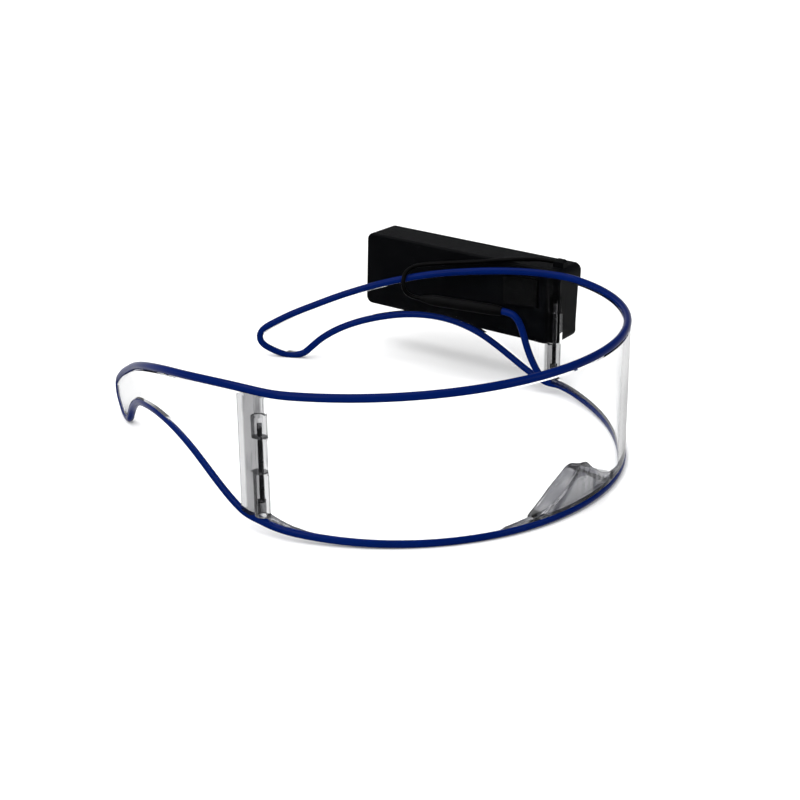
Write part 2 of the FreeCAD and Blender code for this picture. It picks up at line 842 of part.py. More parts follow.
def mounting_pad():
    placement = pack_placement()
    turn = math.radians(pack_yaw)
    normal = Vector(math.cos(turn), math.sin(turn), 0)
    radius = temple_bend_radius + half_plate
    centre = Vector(hinge_half_span - temple_bend_radius, 0, 0)

    def on_temple(y):
        angle = math.asin(y / radius)
        return centre + Vector(radius * math.cos(angle), radius * math.sin(angle), 0)

    def on_pack(point):
        gap = (placement.Base - point).dot(normal)
        return point + normal * gap

    first = on_temple(pad_start)
    last = on_temple(pad_start + pad_length)
    flat_first = on_pack(first)
    flat_last = on_pack(last)
    flat_first.z = 0
    flat_last.z = 0
    edges = [Part.Arc(first, on_temple(pad_start + pad_length / 2), last).toShape(),
             Part.LineSegment(last, flat_last).toShape(),
             Part.LineSegment(flat_last, flat_first).toShape(),
             Part.LineSegment(flat_first, first).toShape()]
    face = Part.Face(Part.Wire(edges))
    face.translate(Vector(0, 0, -pad_top_drop - pad_height))
    return face.extrude(Vector(0, 0, pad_height))


# Leads on the left temple

def beside_temple(along, out, drop):
    turn = min(along / temple_bend_radius, bend)
    x = hinge_half_span - temple_bend_radius * (1 - math.cos(turn))
    y = temple_bend_radius * math.sin(turn)
    extra = max(along - temple_bend_radius * bend, 0)
    return Vector(x - extra * math.sin(turn) + out * math.cos(turn),
                  y + extra * math.cos(turn) + out * math.sin(turn), -drop)


# Points of each lead: share of the temple's length back and outwards, share of the hinge height down
pack_lead_shares = [
    (0.2991, 0.0289, 0.0020), (0.3730, 0.0229, 0.0240), (0.4350, 0.0209, 0.0450), (0.4840, 0.0199, 0.0610),
    (0.5280, 0.0160, 0.0800), (0.5610, -0.0090, 0.1280), (0.5630, -0.0349, 0.2546),
]
wire_lead_shares = [
    (0.1256, -0.0299, 0.4509), (0.1087, -0.0279, 0.5544), (0.0947, -0.0289, 0.6684),
    (0.0738, -0.0319, 0.7798), (0.0499, -0.0319, 0.8833), (0.0319, -0.0299, 0.9450),
]


def along_temple(shares):
    return [beside_temple(along * temple_length, out * temple_length, drop * hinge_height)
            for along, out, drop in shares]


sleeve_out = -(half_plate + sleeve_radius + part_gap)
sleeve_rear = beside_temple(sleeve_start, sleeve_out, sleeve_start_drop)
sleeve_front = beside_temple(sleeve_end, sleeve_out, sleeve_end_drop)


def lead_sleeve():
    way = sleeve_front - sleeve_rear
    return Part.makeCylinder(sleeve_radius, way.Length, sleeve_rear, way)


def pack_lead():
    exit_v = half_height + hood_height / 2
    lying_v = half_height + lead_radius + part_gap
    placement = pack_placement()
    start = hood_start + hood_length / 2
    on_pack = [Vector(hood_w, start, exit_v),
               Vector(hood_w, start + straight_after_hood, exit_v),
               Vector(hood_w / 2, start + slant_reach, lying_v),
               Vector(-lead_radius, start + slant_end_reach, lying_v)]
    before_sleeve = sleeve_rear + (sleeve_rear - sleeve_front).normalize() * lead_straight
    route = [placement.multVec(point) for point in on_pack] + along_temple(pack_lead_shares)
    route += [before_sleeve, sleeve_rear]
    return tube(cord_edges(route, "pack_lead"), lead_radius, "pack_lead")


def wire_lead():
    after_sleeve = sleeve_front + (sleeve_front - sleeve_rear).normalize() * wire_straight
    route = [sleeve_front, after_sleeve] + along_temple(wire_lead_shares)
    return tube(cord_edges(route, "el_wire_lead"), wire_radius, "el_wire_lead")


# Build and save every piece

save("front_shield", front_shield())
save("nose_saddle", nose_saddle())
save("hinge_pin_left", hinge_pin())
save("hinge_pin_right", mirrored(hinge_pin()))
save("el_wire_front_top", front_wire(upper_line, "el_wire_front_top"))
save("el_wire_front_bottom", front_wire(lower_line, "el_wire_front_bottom"))
left_temple = temple_plate()
save("temple_left", left_temple)
save("temple_right", mirrored(left_temple))
left_wire = temple_wire("el_wire_temple")
save("el_wire_temple_left", left_wire)
save("el_wire_temple_right", mirrored(left_wire))
save("lead_sleeve", lead_sleeve())
save("pack_lead", pack_lead())
save("el_wire_lead", wire_lead())
save("mounting_pad", mounting_pad())
save("pack_case", in_pack(pack_case()))
save("pack_lid", in_pack(pack_lid()))
save("battery_door", in_pack(battery_door()))
save("push_button", in_pack(push_button()))
save("switch_body", in_pack(switch_body()))
save("circuit_board", in_pack(circuit_board()))
save("transformer", in_pack(transformer()))
save("capacitor", in_pack(capacitor()))
for name, side in (("upper", 1), ("lower", -1)):
    save("cell_" + name, in_pack(cell(side)))
    save("contact_spring_" + name, in_pack(contact_spring(side)))
for name, plate in zip(("lower", "upper"), front_contacts()):
    save("contact_plate_" + name, in_pack(plate))
save("contact_bridge", in_pack(rear_contact()))
for name, u in zip(("front", "rear"), screw_u):
    save("case_screw_" + name, in_pack(case_screw(u)))
print("origin moved by", to_bridge)
print("pack placement", pack_placement())
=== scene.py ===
import math

import bpy
from mathutils import Matrix, Vector


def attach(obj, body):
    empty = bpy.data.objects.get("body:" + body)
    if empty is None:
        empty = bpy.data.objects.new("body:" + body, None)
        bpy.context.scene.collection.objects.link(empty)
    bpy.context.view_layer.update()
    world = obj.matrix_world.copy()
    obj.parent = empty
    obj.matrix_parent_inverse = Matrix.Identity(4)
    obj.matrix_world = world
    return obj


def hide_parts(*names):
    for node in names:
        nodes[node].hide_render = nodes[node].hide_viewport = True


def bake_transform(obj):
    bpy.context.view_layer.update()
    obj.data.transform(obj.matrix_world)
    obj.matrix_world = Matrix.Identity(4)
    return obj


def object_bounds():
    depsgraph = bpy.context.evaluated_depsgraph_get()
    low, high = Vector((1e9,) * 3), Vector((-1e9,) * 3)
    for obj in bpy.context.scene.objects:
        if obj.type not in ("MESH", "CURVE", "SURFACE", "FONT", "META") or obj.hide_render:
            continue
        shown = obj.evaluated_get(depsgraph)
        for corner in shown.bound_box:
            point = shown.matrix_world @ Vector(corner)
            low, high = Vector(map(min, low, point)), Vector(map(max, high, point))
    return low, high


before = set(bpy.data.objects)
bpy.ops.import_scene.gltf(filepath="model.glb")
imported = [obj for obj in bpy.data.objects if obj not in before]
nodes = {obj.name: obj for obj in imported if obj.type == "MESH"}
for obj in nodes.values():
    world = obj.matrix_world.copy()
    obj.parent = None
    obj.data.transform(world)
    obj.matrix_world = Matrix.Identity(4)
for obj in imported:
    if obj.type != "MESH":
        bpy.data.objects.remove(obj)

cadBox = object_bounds()
print("frame loaded", len(nodes), "nodes")

# places are in millimetres from midway between the hinge axes, level with the upper wire there;
# the part's own origin is the nose bridge
hingeToBridge = Vector((0, 54.2463, 30.9214))


def spot(x, y, z):
    return (Vector((x, y, z)) + hingeToBridge) / 1000


def mm(length):
    return length / 1000


# camera, set where the photographer stood

cameraPlace = {"azimuth": -51.365, "elevation": 19.939, "roll": -0.539, "distance": 468.55,
               "right": -7.13, "up": -21.85, "lens": 70.57}


def setCamera():
    turn = math.radians(cameraPlace["azimuth"])
    rise = math.radians(cameraPlace["elevation"])
    roll = math.radians(cameraPlace["roll"])
    level = math.cos(rise)
    back = Vector((math.sin(turn) * level, -math.cos(turn) * level, math.sin(rise)))
    right = Vector((math.cos(turn), math.sin(turn), 0))
    up = back.cross(right)
    rolledRight = right * math.cos(roll) + up * math.sin(roll)
    rolledUp = up * math.cos(roll) - right * math.sin(roll)
    away = (back * cameraPlace["distance"] + rolledRight * cameraPlace["right"]
            + rolledUp * cameraPlace["up"])
    bpy.ops.object.camera_add(location=spot(*away))
    camera = bpy.context.object
    facing = Matrix((rolledRight, rolledUp, back)).transposed()
    camera.rotation_euler = facing.to_euler()
    camera.data.lens = cameraPlace["lens"]
    camera.data.clip_start = 0.01
    bpy.context.scene.camera = camera


setCamera()
print("camera set")


# small helpers

def clearSelection():
    if bpy.context.object and bpy.context.object.mode != "OBJECT":
        bpy.ops.object.mode_set(mode="OBJECT")
    bpy.ops.object.select_all(action="DESELECT")


def pick(piece):
    clearSelection()
    piece.select_set(True)
    bpy.context.view_layer.objects.active = piece


def freeze(piece):
    pick(piece)
    bpy.ops.object.transform_apply(location=True, rotation=True, scale=True)


def toMesh(piece, name):
    pick(piece)
    bpy.ops.object.convert(target="MESH")
    made = bpy.context.object
    made.name = name
    freeze(made)
    return made


def selectFaces(piece, test):
    pick(piece)
    bpy.context.tool_settings.mesh_select_mode = (False, False, True)
    mesh = piece.data
    for part in (mesh.vertices, mesh.edges, mesh.polygons):
        part.foreach_set("select", [False] * len(part))
    for face in mesh.polygons:
        face.select = test(face.center)
    bpy.ops.object.mode_set(mode="EDIT")


def closeEnds(piece):
    pick(piece)
    bpy.ops.object.mode_set(mode="EDIT")
    bpy.ops.mesh.select_all(action="SELECT")
    bpy.ops.mesh.fill_holes(sides=0)
    bpy.ops.mesh.normals_make_consistent(inside=False)
    bpy.ops.object.mode_set(mode="OBJECT")


def smooth(piece, angle=30):
    pick(piece)
    bpy.ops.object.shade_smooth_by_angle(angle=math.radians(angle))


def useModifier(piece, kind, **values):
    pick(piece)
    made = piece.modifiers.new(kind.title(), kind)
    for name, value in values.items():
        setattr(made, name, value)
    bpy.ops.object.modifier_apply(modifier=made.name)


def dress(piece, material):
    piece.data.materials.clear()
    piece.data.materials.append(material)


def settle(piece, material, body, replaced=()):
    dress(piece, material)
    if replaced:
        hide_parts(*replaced)
    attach(piece, body)
    return piece


def turnedPiece(name, base, axis, rings, steps=40):
    # a closed turned shape; each ring is a place along the axis and a radius
    clearSelection()
    axis = axis.normalized()
    bpy.ops.mesh.primitive_circle_add(
        vertices=steps, radius=rings[0][1], fill_type="NGON", location=base + axis * rings[0][0],
        rotation=axis.to_track_quat("Z", "Y").to_euler())
    piece = bpy.context.object
    piece.name = name
    bpy.ops.object.mode_set(mode="EDIT")
    bpy.ops.mesh.select_all(action="SELECT")
    for (before, wide), (after, wider) in zip(rings, rings[1:]):
        bpy.ops.mesh.extrude_region_move(TRANSFORM_OT_translate={"value": axis * (after - before)})
        ratio = wider / wide
        bpy.ops.transform.resize(value=(ratio, ratio, ratio), center_override=base + axis * after)
    bpy.ops.mesh.select_all(action="SELECT")
    bpy.ops.mesh.normals_make_consistent(inside=False)
    bpy.ops.object.mode_set(mode="OBJECT")
    freeze(piece)
    return piece


# shader groups shared by the finishes

color, number, vector = "NodeSocketColor", "NodeSocketFloat", "NodeSocketVector"


def newGroup(name, inputs):
    group = bpy.data.node_groups.new(name, "ShaderNodeTree")
    for label, kind, value in inputs:
        socket = group.interface.new_socket(label, in_out="INPUT", socket_type=kind)
        socket.default_value = value
    for label, kind in (("Color", color), ("Roughness", number), ("Normal", vector)):
        group.interface.new_socket(label, in_out="OUTPUT", socket_type=kind)
    return group, group.nodes.new("NodeGroupInput"), group.nodes.new("NodeGroupOutput")


def addNode(tree, kind, **values):
    node = tree.nodes.new(kind)
    for name, value in values.items():
        setattr(node, name, value)
    return node


def makeGrainGroup():
    # two tones mottled in patches, with the relief of a fine grain
    group, inside, outside = newGroup(
        "fineGrain",
        [("Tone", color, (0.5, 0.5, 0.5, 1)), ("Second Tone", color, (0.5, 0.5, 0.5, 1)),
         ("Grain", number, 4000), ("Patches", number, 60), ("Relief", number, 0.1),
         ("Gloss", number, 0.3), ("Dullness", number, 0.5)])
    links = group.links
    place = addNode(group, "ShaderNodeTexCoord")
    grain = addNode(group, "ShaderNodeTexNoise")
    grain.inputs["Detail"].default_value = 3
    patches = addNode(group, "ShaderNodeTexNoise")
    patches.inputs["Detail"].default_value = 5
    for noise, label in ((grain, "Grain"), (patches, "Patches")):
        links.new(place.outputs["Object"], noise.inputs["Vector"])
        links.new(inside.outputs[label], noise.inputs["Scale"])
    share = addNode(group, "ShaderNodeMapRange")
    share.inputs["From Min"].default_value = 0.35
    share.inputs["From Max"].default_value = 0.65
    links.new(patches.outputs["Fac"], share.inputs["Value"])
    tones = addNode(group, "ShaderNodeMix", data_type="RGBA")
    links.new(share.outputs["Result"], tones.inputs["Factor"])
    links.new(inside.outputs["Tone"], tones.inputs["A"])
    links.new(inside.outputs["Second Tone"], tones.inputs["B"])
    rough = addNode(group, "ShaderNodeMapRange")
    links.new(patches.outputs["Fac"], rough.inputs["Value"])
    links.new(inside.outputs["Gloss"], rough.inputs["To Min"])
    links.new(inside.outputs["Dullness"], rough.inputs["To Max"])
    bump = addNode(group, "ShaderNodeBump")
    bump.inputs["Distance"].default_value = 0.0001
    links.new(grain.outputs["Fac"], bump.inputs["Height"])
    links.new(inside.outputs["Relief"], bump.inputs["Strength"])
    links.new(tones.outputs["Result"], outside.inputs["Color"])
    links.new(rough.outputs["Result"], outside.inputs["Roughness"])
    links.new(bump.outputs["Normal"], outside.inputs["Normal"])
    return group


def makeFlowAndShadeGroup():
    # clear moulded plastic with faint waves and haze; a band along Y is hazier, greyed by painted
    # shade and streaked with painted refraction
    group, inside, outside = newGroup(
        "mouldFlowPaintedShade",
        [("Tint", color, (1, 1, 1, 1)), ("Streak Tint", color, (0.4, 0.4, 0.41, 1)),
         ("Dark Tint", color, (0.12, 0.12, 0.13, 1)),
         ("Waves", number, 40), ("Depth", number, 0.1),
         ("Gloss", number, 0.0), ("Haze", number, 0.05), ("Band Haze", number, 0.2),
         ("Band Start", number, 0.0), ("Band End", number, 0.0),
         ("Streaks", number, 250), ("Stretch", vector, (1, 1, 0.16)),
         ("Facing", number, 0.0), ("Grazing Tint", color, (1, 1, 1, 1)),
         ("Grazing Top", number, 0.0), ("Swirl", number, 0.0),
         ("Swirl Scale", number, 100), ("Swirl Centre", vector, (0, 0, 0))])
    links = group.links
    place = addNode(group, "ShaderNodeTexCoord")
    waves = addNode(group, "ShaderNodeTexNoise")
    waves.inputs["Detail"].default_value = 1
    haze = addNode(group, "ShaderNodeTexNoise")
    haze.inputs["Scale"].default_value = 180
    haze.inputs["Detail"].default_value = 6
    links.new(place.outputs["Object"], waves.inputs["Vector"])
    links.new(place.outputs["Object"], haze.inputs["Vector"])
    links.new(inside.outputs["Waves"], waves.inputs["Scale"])
    bump = addNode(group, "ShaderNodeBump")
    bump.inputs["Distance"].default_value = 0.001
    links.new(waves.outputs["Fac"], bump.inputs["Height"])
    links.new(inside.outputs["Depth"], bump.inputs["Strength"])
    # the band between two places along Y, with soft ends
    split = addNode(group, "ShaderNodeSeparateXYZ")
    links.new(place.outputs["Object"], split.inputs["Vector"])
    ends = []
    for label, slope in (("Band Start", 1), ("Band End", -1)):
        past = addNode(group, "ShaderNodeMath", operation="SUBTRACT")
        links.new(split.outputs["Y"], past.inputs[0])
        links.new(inside.outputs[label], past.inputs[1])
        edge = addNode(group, "ShaderNodeMath", operation="MULTIPLY", use_clamp=True)
        links.new(past.outputs["Value"], edge.inputs[0])
        edge.inputs[1].default_value = slope * 2500
        ends.append(edge)
    band = addNode(group, "ShaderNodeMath", operation="MULTIPLY")
    links.new(ends[0].outputs["Value"], band.inputs[0])
    links.new(ends[1].outputs["Value"], band.inputs[1])
    # the stretch sets the course of the painted refraction streaks
    stretch = addNode(group, "ShaderNodeVectorMath", operation="MULTIPLY")
    links.new(place.outputs["Object"], stretch.inputs[0])
    links.new(inside.outputs["Stretch"], stretch.inputs[1])
    streaks = addNode(group, "ShaderNodeTexNoise")
    streaks.inputs["Detail"].default_value = 3
    streaks.inputs["Distortion"].default_value = 1.2
    links.new(stretch.outputs["Vector"], streaks.inputs["Vector"])
    links.new(inside.outputs["Streaks"], streaks.inputs["Scale"])
    dark = addNode(group, "ShaderNodeMapRange")
    dark.inputs["From Min"].default_value = 0.56
    dark.inputs["From Max"].default_value = 0.72
    links.new(streaks.outputs["Fac"], dark.inputs["Value"])
    # the band's grey and its dark streaks are painted shade and painted refraction in the base colour
    shadeStreaked = addNode(group, "ShaderNodeMix", data_type="RGBA")
    links.new(dark.outputs["Result"], shadeStreaked.inputs["Factor"])
    links.new(inside.outputs["Streak Tint"], shadeStreaked.inputs["A"])
    links.new(inside.outputs["Dark Tint"], shadeStreaked.inputs["B"])
    bandShaded = addNode(group, "ShaderNodeMix", data_type="RGBA")
    links.new(band.outputs["Value"], bandShaded.inputs["Factor"])
    links.new(inside.outputs["Tint"], bandShaded.inputs["A"])
    links.new(shadeStreaked.outputs["Result"], bandShaded.inputs["B"])
    # low on the plate a painted shade greys it where it is seen edge-on
    grazing = addNode(group, "ShaderNodeMapRange")
    grazing.inputs["From Min"].default_value = 0.72
    grazing.inputs["From Max"].default_value = 0.93
    links.new(inside.outputs["Facing"], grazing.inputs["Value"])
    under = addNode(group, "ShaderNodeMath", operation="SUBTRACT")
    links.new(inside.outputs["Grazing Top"], under.inputs[0])
    links.new(split.outputs["Z"], under.inputs[1])
    low = addNode(group, "ShaderNodeMath", operation="MULTIPLY", use_clamp=True)
    low.inputs[1].default_value = 90
    links.new(under.outputs["Value"], low.inputs[0])
    edgeShadeMask = addNode(group, "ShaderNodeMath", operation="MULTIPLY")
    links.new(grazing.outputs["Result"], edgeShadeMask.inputs[0])
    links.new(low.outputs["Value"], edgeShadeMask.inputs[1])
    edgeShaded = addNode(group, "ShaderNodeMix", data_type="RGBA")
    links.new(edgeShadeMask.outputs["Value"], edgeShaded.inputs["Factor"])
    links.new(bandShaded.outputs["Result"], edgeShaded.inputs["A"])
    links.new(inside.outputs["Grazing Tint"], edgeShaded.inputs["B"])
    # dark curls of painted refraction in the thick soft plastic
    curls = addNode(group, "ShaderNodeTexWave", wave_type="RINGS", rings_direction="Y")
    curls.inputs["Distortion"].default_value = 8
    curls.inputs["Detail"].default_value = 1
    curls.inputs["Detail Scale"].default_value = 1.8
    fromCentre = addNode(group, "ShaderNodeVectorMath", operation="SUBTRACT")
    links.new(place.outputs["Object"], fromCentre.inputs[0])
    links.new(inside.outputs["Swirl Centre"], fromCentre.inputs[1])
    links.new(fromCentre.outputs["Vector"], curls.inputs["Vector"])
    links.new(inside.outputs["Swirl Scale"], curls.inputs["Scale"])
    narrow = addNode(group, "ShaderNodeMapRange", interpolation_type="SMOOTHSTEP")
    narrow.inputs["From Min"].default_value = 0.45
    narrow.inputs["From Max"].default_value = 1.0
    links.new(curls.outputs["Fac"], narrow.inputs["Value"])
    curled = addNode(group, "ShaderNodeMath", operation="MULTIPLY")
    links.new(narrow.outputs["Result"], curled.inputs[0])
    links.new(inside.outputs["Swirl"], curled.inputs[1])
    swirled = addNode(group, "ShaderNodeMix", data_type="RGBA")
    links.new(curled.outputs["Value"], swirled.inputs["Factor"])
    links.new(edgeShaded.outputs["Result"], swirled.inputs["A"])
    links.new(inside.outputs["Dark Tint"], swirled.inputs["B"])
    # uneven haze, with more of it in the band
    rough = addNode(group, "ShaderNodeMapRange")
    rough.inputs["From Min"].default_value = 0.3
    rough.inputs["From Max"].default_value = 0.7
    links.new(haze.outputs["Fac"], rough.inputs["Value"])
    links.new(inside.outputs["Gloss"], rough.inputs["To Min"])
    links.new(inside.outputs["Haze"], rough.inputs["To Max"])
    bandHaze = addNode(group, "ShaderNodeMath", operation="MULTIPLY_ADD")
    links.new(band.outputs["Value"], bandHaze.inputs[0])
    links.new(inside.outputs["Band Haze"], bandHaze.inputs[1])
    links.new(rough.outputs["Result"], bandHaze.inputs[2])
    links.new(swirled.outputs["Result"], outside.inputs["Color"])
    links.new(bandHaze.outputs["Value"], outside.inputs["Roughness"])
    links.new(bump.outputs["Normal"], outside.inputs["Normal"])
    return group


fineGrain = makeGrainGroup()
mouldFlowPaintedShade = makeFlowAndShadeGroup()


def fillSockets(node, values):
    for label, value in values.items():
        node.inputs[label.replace("_", " ")].default_value = value


def newMaterial(name, finish, finishValues, shaderValues):
    material = bpy.data.materials.new(name)
    material.use_nodes = True
    tree = material.node_tree
    shader = tree.nodes["Principled BSDF"]
    group = addNode(tree, "ShaderNodeGroup", node_tree=finish)
    fillSockets(group, finishValues)
    fillSockets(shader, shaderValues)
    for output, socket in (("Color", "Base Color"), ("Roughness", "Roughness"), ("Normal", "Normal")):
        tree.links.new(group.outputs[output], shader.inputs[socket])
    return material, tree, group, shader


def mixSurface(tree, share, shader, other):
    # the share goes from the first shader to the second
    mix = addNode(tree, "ShaderNodeMixShader")
    tree.links.new(share, mix.inputs["Fac"])
    tree.links.new(shader.outputs["BSDF"], mix.inputs[1])
    tree.links.new(other.outputs["BSDF"], mix.inputs[2])
    tree.links.new(mix.outputs["Shader"], tree.nodes["Material Output"].inputs["Surface"])


def grainMaterial(name, tone, second, grain, patches, relief, gloss, dullness, **shaderValues):
    finishValues = {"Tone": (*tone, 1), "Second Tone": (*second, 1), "Grain": grain,
                    "Patches": patches, "Relief": relief, "Gloss": gloss, "Dullness": dullness}
    return newMaterial(name, fineGrain, finishValues, shaderValues)[0]


def clearMaterial(name, tint, ior, shadow, **mould):
    material, tree, group, shader = newMaterial(
        name, mouldFlowPaintedShade, {"Tint": (*tint, 1), **mould}, {"Transmission Weight": 1, "IOR": ior})
    weight = addNode(tree, "ShaderNodeLayerWeight")
    tree.links.new(weight.outputs["Facing"], group.inputs["Facing"])
    # light passes to the table through clear plastic, a little dimmed
    rays = addNode(tree, "ShaderNodeLightPath")
    through = addNode(tree, "ShaderNodeBsdfTransparent")
    through.inputs["Color"].default_value = (shadow, shadow, shadow, 1)
    mixSurface(tree, rays.outputs["Is Shadow Ray"], shader, through)
    return material


# the plates' band is the hinge strip, greyed and streaked with painted shade
hingeLine = mm(hingeToBridge.y)
clearPlate = {"tint": (0.975, 0.978, 0.98), "ior": 1.08, "shadow": 0.94, "Waves": 25,
              "Depth": 0.02, "Gloss": 0.0, "Haze": 0.008, "Band_Start": hingeLine - mm(1.6),
              "Band_Haze": 0.25, "Streak_Tint": (0.27, 0.27, 0.275, 1),
              "Dark_Tint": (0.1, 0.1, 0.105, 1), "Streaks": 300}
clearPlastic = clearMaterial("clearPlastic", Band_End=hingeLine + mm(7.1),
                             Grazing_Tint=(0.3, 0.3, 0.31, 1),
                             Grazing_Top=mm(hingeToBridge.z - 8), **clearPlate)
clearLeftTemple = clearMaterial("clearLeftTemple", Band_End=hingeLine + mm(3.1), **clearPlate)
# the saddle and glue runs are greyed, streaked and curled with painted shade and painted refraction
clearSoft = clearMaterial(
    "clearSoftPlastic", tint=(0.45, 0.45, 0.46), ior=1.47, shadow=0.75, Waves=90, Depth=0.3,
    Gloss=0.02, Haze=0.08, Band_Start=hingeLine - mm(70), Band_End=hingeLine, Band_Haze=0.03,
    Stretch=(0.5, 1.4, 0.5), Streak_Tint=(0.25, 0.25, 0.26, 1), Dark_Tint=(0.05, 0.05, 0.065, 1),
    Streaks=230, Swirl=0.85, Swirl_Scale=34, Swirl_Centre=(0, 0, mm(-28)))
blueWire = grainMaterial(
    "blueWireJacket", tone=(0.0003, 0.0062, 0.062), second=(0.0004, 0.0076, 0.074), grain=900,
    patches=45, relief=0.12, gloss=0.12, dullness=0.22, Specular_IOR_Level=0.03)
pinSteel = grainMaterial(
    "pinSteel", tone=(0.38, 0.38, 0.39), second=(0.26, 0.26, 0.27), grain=3000, patches=300,
    relief=0.15, gloss=0.18, dullness=0.4, Metallic=1.0)
blackCase = grainMaterial(
    "blackCase", tone=(0.0013, 0.0015, 0.002), second=(0.0022, 0.0024, 0.0029), grain=5200,
    patches=90, relief=0.5, gloss=0.38, dullness=0.55, Specular_IOR_Level=0.03)
blackSleeve = grainMaterial(
    "blackSleeve", tone=(0.0012, 0.0012, 0.0014), second=(0.0024, 0.0024, 0.0027), grain=1500,
    patches=150, relief=0.4, gloss=0.45, dullness=0.65, Specular_IOR_Level=0.04)
blackLead = grainMaterial(
    "blackLead", tone=(0.0007, 0.0007, 0.0008), second=(0.0013, 0.0013, 0.0014), grain=2500,
    patches=120, relief=0.25, gloss=0.28, dullness=0.45, Specular_IOR_Level=0.03)
foamTape = grainMaterial(
    "foamTape", tone=(0.0015, 0.0015, 0.0017), second=(0.003, 0.003, 0.0032), grain=2600,
    patches=400, relief=1.0, gloss=0.85, dullness=0.98, Specular_IOR_Level=0.03)
buttonPlastic = grainMaterial(
    "buttonPlastic", tone=(0.012, 0.012, 0.013), second=(0.018, 0.018, 0.019), grain=5200,
    patches=200, relief=0.3, gloss=0.3, dullness=0.45)
screwSteel = grainMaterial(
    "screwSteel", tone=(0.3, 0.3, 0.31), second=(0.18, 0.18, 0.19), grain=2500, patches=500,
    relief=0.3, gloss=0.25, dullness=0.5, Metallic=1.0)
cellCan = grainMaterial(
    "cellCan", tone=(0.46, 0.47, 0.49), second=(0.4, 0.41, 0.43), grain=3000, patches=120,
    relief=0.15, gloss=0.22, dullness=0.4, Metallic=0.8)
contactMetal = grainMaterial(
    "contactMetal", tone=(0.66, 0.64, 0.58), second=(0.5, 0.48, 0.43), grain=3500, patches=300,
    relief=0.2, gloss=0.2, dullness=0.42, Metallic=1.0)
boardGreen = grainMaterial(
    "boardGreen", tone=(0.012, 0.1, 0.035), second=(0.008, 0.07, 0.026), grain=4000, patches=700,
    relief=0.2, gloss=0.3, dullness=0.5)
transformerWrap = grainMaterial(
    "transformerWrap", tone=(0.6, 0.45, 0.06), second=(0.45, 0.33, 0.05), grain=2500, patches=500,
    relief=0.3, gloss=0.35, dullness=0.6)
capacitorSleeve = grainMaterial(
    "capacitorSleeve", tone=(0.02, 0.025, 0.05), second=(0.015, 0.018, 0.04), grain=3000,
    patches=300, relief=0.2, gloss=0.25, dullness=0.4)
switchPlastic = grainMaterial(
    "switchPlastic", tone=(0.02, 0.02, 0.021), second=(0.035, 0.035, 0.036), grain=3500,
    patches=300, relief=0.3, gloss=0.4, dullness=0.6)
print("materials made")

# the shield's and the temples' edge lines

shield = {"halfSpan": 72.0, "wrapAngle": 68.3, "sideRadius": 28.0, "browRise": 1.55,
          "frontExtra": 5.6}
hinge = {"height": 37.7, "reach": 4.0, "pinBottom": 0.825, "headLength": 0.8}
temple = {"length": 100.3, "bendRadius": 130.0, "bendAngle": 31.0, "halfPlate": 1.0}
wrap = math.radians(shield["wrapAngle"])
frontRadius = (shield["halfSpan"] - shield["sideRadius"] * (1 - math.sin(wrap))) / math.sin(wrap)
shieldDepth = frontRadius * (1 - math.cos(wrap)) + shield["sideRadius"] * math.cos(wrap)
lowerRise = shield["frontExtra"] - shield["browRise"]
lowerRadius = (shieldDepth ** 2 + lowerRise ** 2) / (2 * lowerRise)
bend = math.radians(temple["bendAngle"])


def edgeHeight(y, edge):
    if edge == "top":
        return -shield["browRise"] * y / shieldDepth, -shield["browRise"] / shieldDepth
    run = y + shieldDepth
    drop = math.sqrt(lowerRadius ** 2 - run ** 2)
    return -hinge["height"] - lowerRise + lowerRadius - drop, run / drop


def shieldSpot(angle, edge, forward=1):
    turn = math.radians(angle)
    side = math.copysign(1, angle)
    if abs(turn) <= wrap:
        x = frontRadius * math.sin(turn)
        y = frontRadius * (1 - math.cos(turn)) - shieldDepth
    else:
        x = side * (shield["halfSpan"] - shield["sideRadius"] * (1 - math.sin(abs(turn))))
        y = -shield["sideRadius"] * math.cos(turn)
    height, slope = edgeHeight(y, edge)
    way = Vector((math.cos(turn), math.sin(turn), slope * math.sin(turn))) * forward
    return spot(x, y, height), way.normalized()


def templeSpot(side, along, down, angle, forward=1):
    y = along * temple["length"]
    bendEnd = temple["bendRadius"] * math.sin(bend)
    turn = math.asin(y / temple["bendRadius"]) if y <= bendEnd else bend
    x = (shield["halfSpan"] - temple["bendRadius"] * (1 - math.cos(turn))
         - max(y - bendEnd, 0) * math.tan(bend))
    rise = math.radians(angle)
    level = math.cos(rise)
    way = Vector((-side * math.tan(turn) * level, level, math.sin(rise))) * forward
    return spot(side * x, y, down * hinge["height"]), way.normalized()


# share of the temple's length, share of the hinge's height, direction in degrees: back along the
# top, round the tip and forward below
templeShares = [
    (0.150, -0.024, -5.5), (0.300, -0.072, -8.3), (0.450, -0.138, -11.5),
    (0.600, -0.240, -17.0), (0.730, -0.366, -22.5), (0.850, -0.515, -25.5),
    (0.945, -0.655, -33.0), (0.998, -0.830, -98.0), (0.957, -0.940, -152.0),
    (0.900, -0.984, -181.0), (0.854, -0.940, -226.0), (0.800, -0.796, -219.0),
    (0.700, -0.643, -201.5), (0.580, -0.556, -190.0), (0.470, -0.536, -178.0),
    (0.370, -0.574, -165.0), (0.270, -0.676, -152.5), (0.170, -0.832, -148.5),
    (0.080, -0.963, -158.0),
]


def besideTemple(along, out, down):
    along, out = along * temple["length"], out * temple["length"]
    turn = min(along / temple["bendRadius"], bend)
    extra = max(along - temple["bendRadius"] * bend, 0)
    x = shield["halfSpan"] - temple["bendRadius"] * (1 - math.cos(turn)) - extra * math.sin(turn)
    y = temple["bendRadius"] * math.sin(turn) + extra * math.cos(turn)
    return spot(x + out * math.cos(turn), y + out * math.sin(turn), -down * hinge["height"])


# free leads on the left temple: the black one from the pack, and the blue wire from the sleeve to
# the lower edge; their shares are of the temple's length along it, of the same length outwards
# and of the hinge's height downwards, and a lead's own length is in metres

